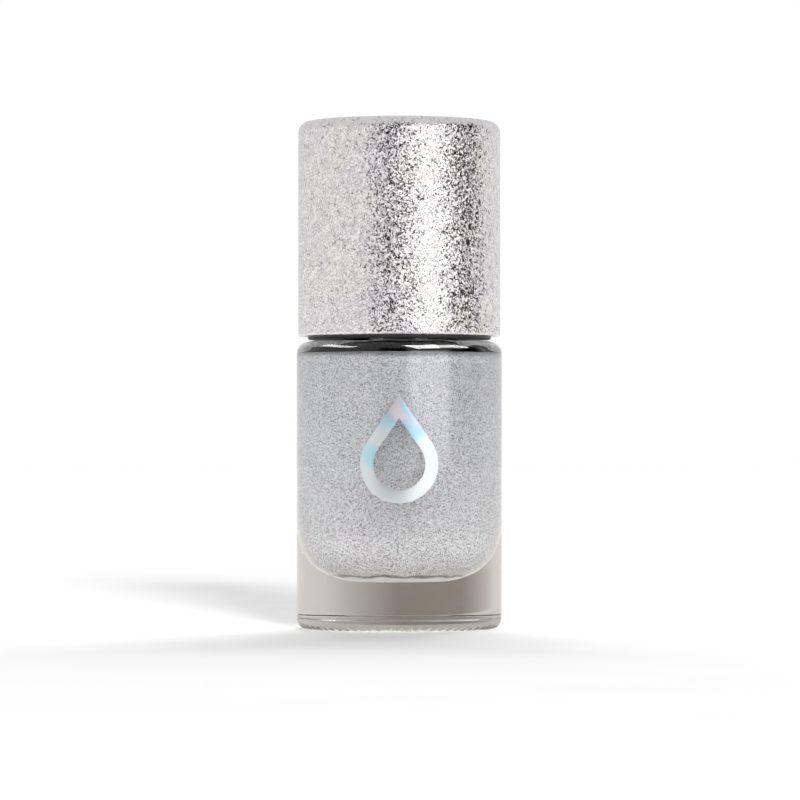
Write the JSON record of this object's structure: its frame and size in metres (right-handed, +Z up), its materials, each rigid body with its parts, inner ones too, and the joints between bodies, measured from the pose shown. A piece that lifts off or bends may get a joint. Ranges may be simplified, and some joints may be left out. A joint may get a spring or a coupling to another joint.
{
  "type": "nail polish bottle",
  "caption": "Round clear-glass nail polish bottle with a thick base, filled with glitter polish, and a tall textured screw cap that carries the brush.",
  "frame": {"origin": "centre of the foot ring, on the surface the bottle stands on", "axes": "+Z up the bottle's axis towards the cap, front (the emblem) towards -Y, +X to the right seen from the front"},
  "size_m": [0.0272, 0.0273, 0.0672],
  "materials": {
    "glass": "clear, polished, slightly warm in the thick base",
    "glitter_polish": "silver liquid full of fine holographic glitter",
    "ball_steel": "polished stainless steel",
    "holographic_foil": "hot-stamped silver foil with pale blue and cyan shifts",
    "label_paper": "plain white sticker",
    "metallised_plastic": "crinkled texture, vacuum-metallised silver",
    "black_plastic": "moulded polypropylene, satin",
    "hot_melt_glue": "translucent hot-melt bead",
    "seal_liner": "soft white foam liner",
    "stem_plastic": "moulded polyethylene, satin",
    "bristle_nylon": "fine dark nylon filaments",
    "staple_metal": "flat wire"
  },
  "bodies": {
    "filled_bottle": {"bottle": "glass", "polish": "glitter_polish", "foil_emblem": "holographic_foil", "base_label": "label_paper"},
    "ball_1": {"mixing_ball_1": "ball_steel"},
    "ball_2": {"mixing_ball_2": "ball_steel"},
    "seal": {"lip_seal": "seal_liner"},
    "cap_thrust": {"glue_ring": "hot_melt_glue"},
    "cap_and_brush": {"overcap": "metallised_plastic", "inner_cap": "black_plastic", "brush_stem": "stem_plastic", "bristles": "bristle_nylon", "bristle_staple": "staple_metal"}
  },
  "joints": [
    {"name": "cap_lift", "type": "slide", "parent": "filled_bottle", "child": "seal", "axis": [0, 0, 1], "range_m": [0, 0.052], "deforming": ["polish"]},
    {"name": "cap_rise", "type": "slide", "parent": "seal", "child": "cap_thrust", "axis": [0, 0, 1], "range_m": [0, 0.0032]},
    {"name": "cap_turn", "type": "hinge", "parent": "cap_thrust", "child": "cap_and_brush", "pos_m": [0, 0, 0.046], "axis": [0, 0, 1], "range_deg": [0, 540]},
    {"name": "ball_1_rattle", "type": "slide", "parent": "filled_bottle", "child": "ball_1", "axis": [0, 0, 1], "range_m": [0, 0.024]},
    {"name": "ball_2_rattle", "type": "slide", "parent": "filled_bottle", "child": "ball_2", "axis": [0, 0, 1], "range_m": [0, 0.024]}
  ],
  "couplings": [
    {"joint": "cap_rise", "follows": "cap_turn", "m_per_rad": 0.0003369}
  ]
}
